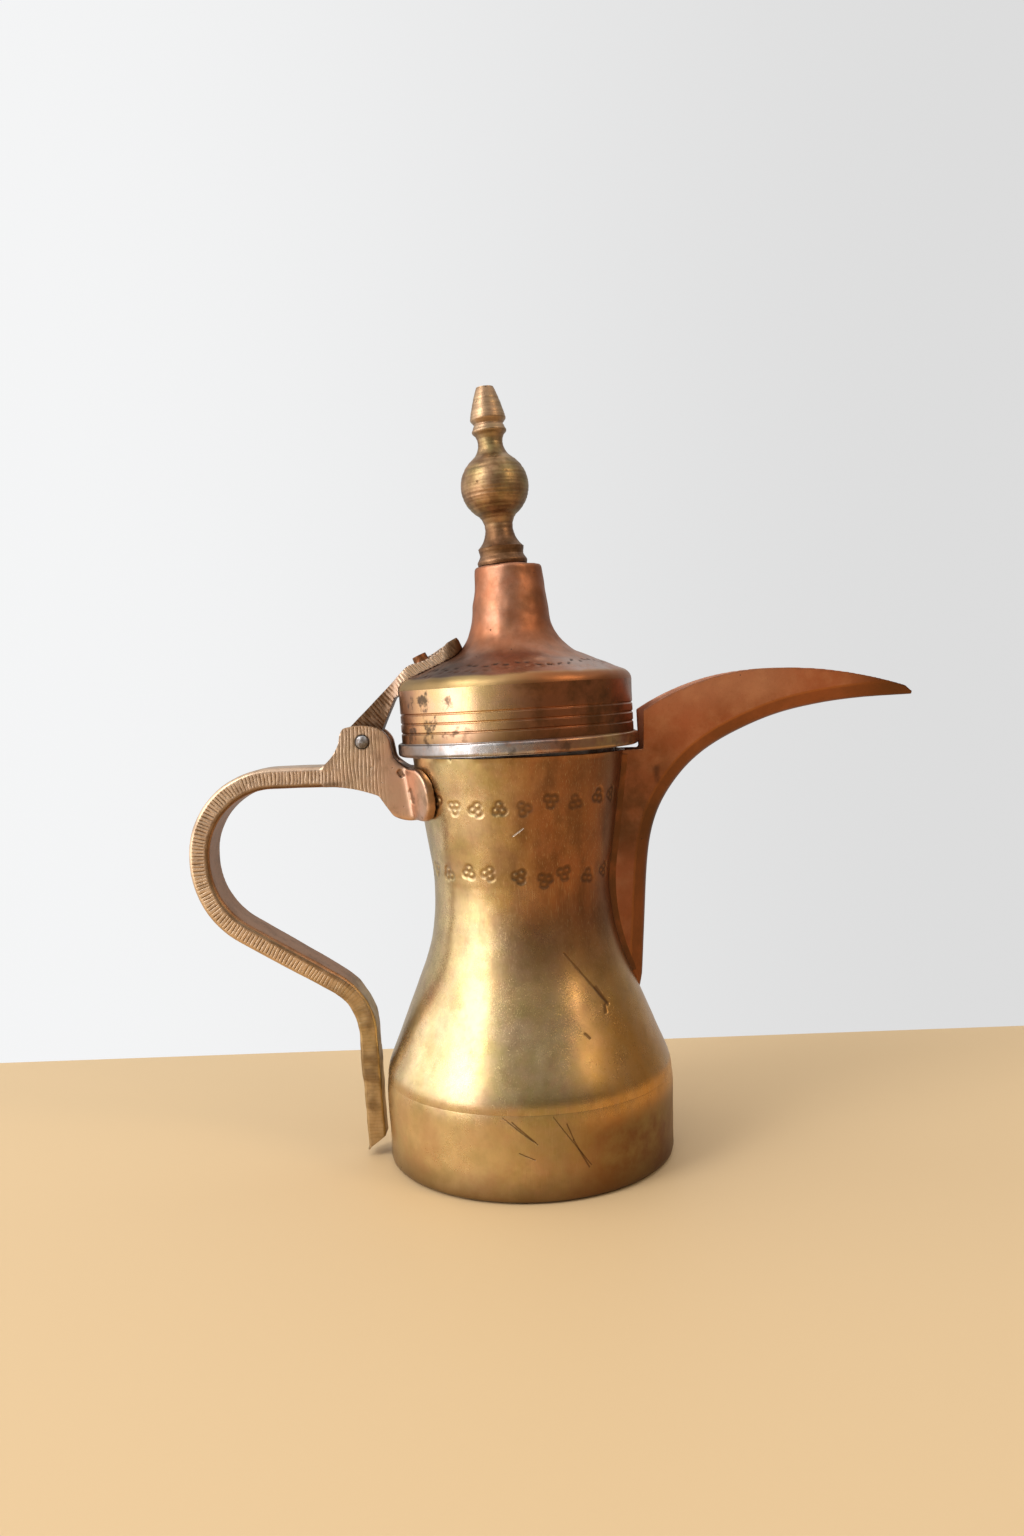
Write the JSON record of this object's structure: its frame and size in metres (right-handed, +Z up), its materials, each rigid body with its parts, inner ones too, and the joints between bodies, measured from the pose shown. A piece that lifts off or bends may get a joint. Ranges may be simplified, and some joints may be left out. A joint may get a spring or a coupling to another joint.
{
  "type": "dallah coffee pot",
  "caption": "Waisted brass coffee pot with a crescent beak spout, an open looped handle, and a hinged lid with a tall cone and turned finial; brews and pours coffee.",
  "frame": {"origin": "centre of the flat base, on the pot's axis, at the plane it stands on", "axes": "+Z up along the pot's axis; +X towards the spout's tip; -X towards the handle; the mid-plane of spout, hinge and handle is Y = 0"},
  "size_m": [0.2324, 0.0928, 0.2451],
  "materials": {
    "pan_brass": "aged brass, scratched, darker at the foot",
    "body_brass": "aged rolled brass, rubbed, turning copper-brown towards the spout",
    "spout_copper": "matt reddish copper sheet",
    "handle_brass": "cast brass with file marks",
    "pin_iron": "dull iron",
    "strap_brass": "dark brown brass with filed edges",
    "rivet_copper": "dull copper",
    "drum_brass": "brass with copper-coloured wear and dark patches",
    "cone_copper": "hammered pinkish copper with grey soot on the shoulder",
    "rim_tin": "tinned edge, worn brown in places",
    "collar_tin": "dull tinned sheet",
    "finial_brass": "turned copper-olive knob with a brass tip"
  },
  "bodies": {
    "pot": {"base_pan": "pan_brass", "body_wall": "body_brass", "spout": "spout_copper", "handle": "handle_brass", "hinge_pin": "pin_iron"},
    "lid": {"lid_strap": "strap_brass", "strap_rivet": "rivet_copper", "strap_rove": "rivet_copper", "lid_drum": "drum_brass", "lid_cone": "cone_copper", "lid_rim_band": "rim_tin", "lid_collar": "collar_tin", "finial": "finial_brass", "finial_rove": "rivet_copper"}
  },
  "joints": [
    {"name": "lid_hinge", "type": "hinge", "parent": "pot", "child": "lid", "pos_m": [-0.0491, 0, 0.1348], "axis": [0, -1, 0], "range_deg": [0, 105]}
  ]
}
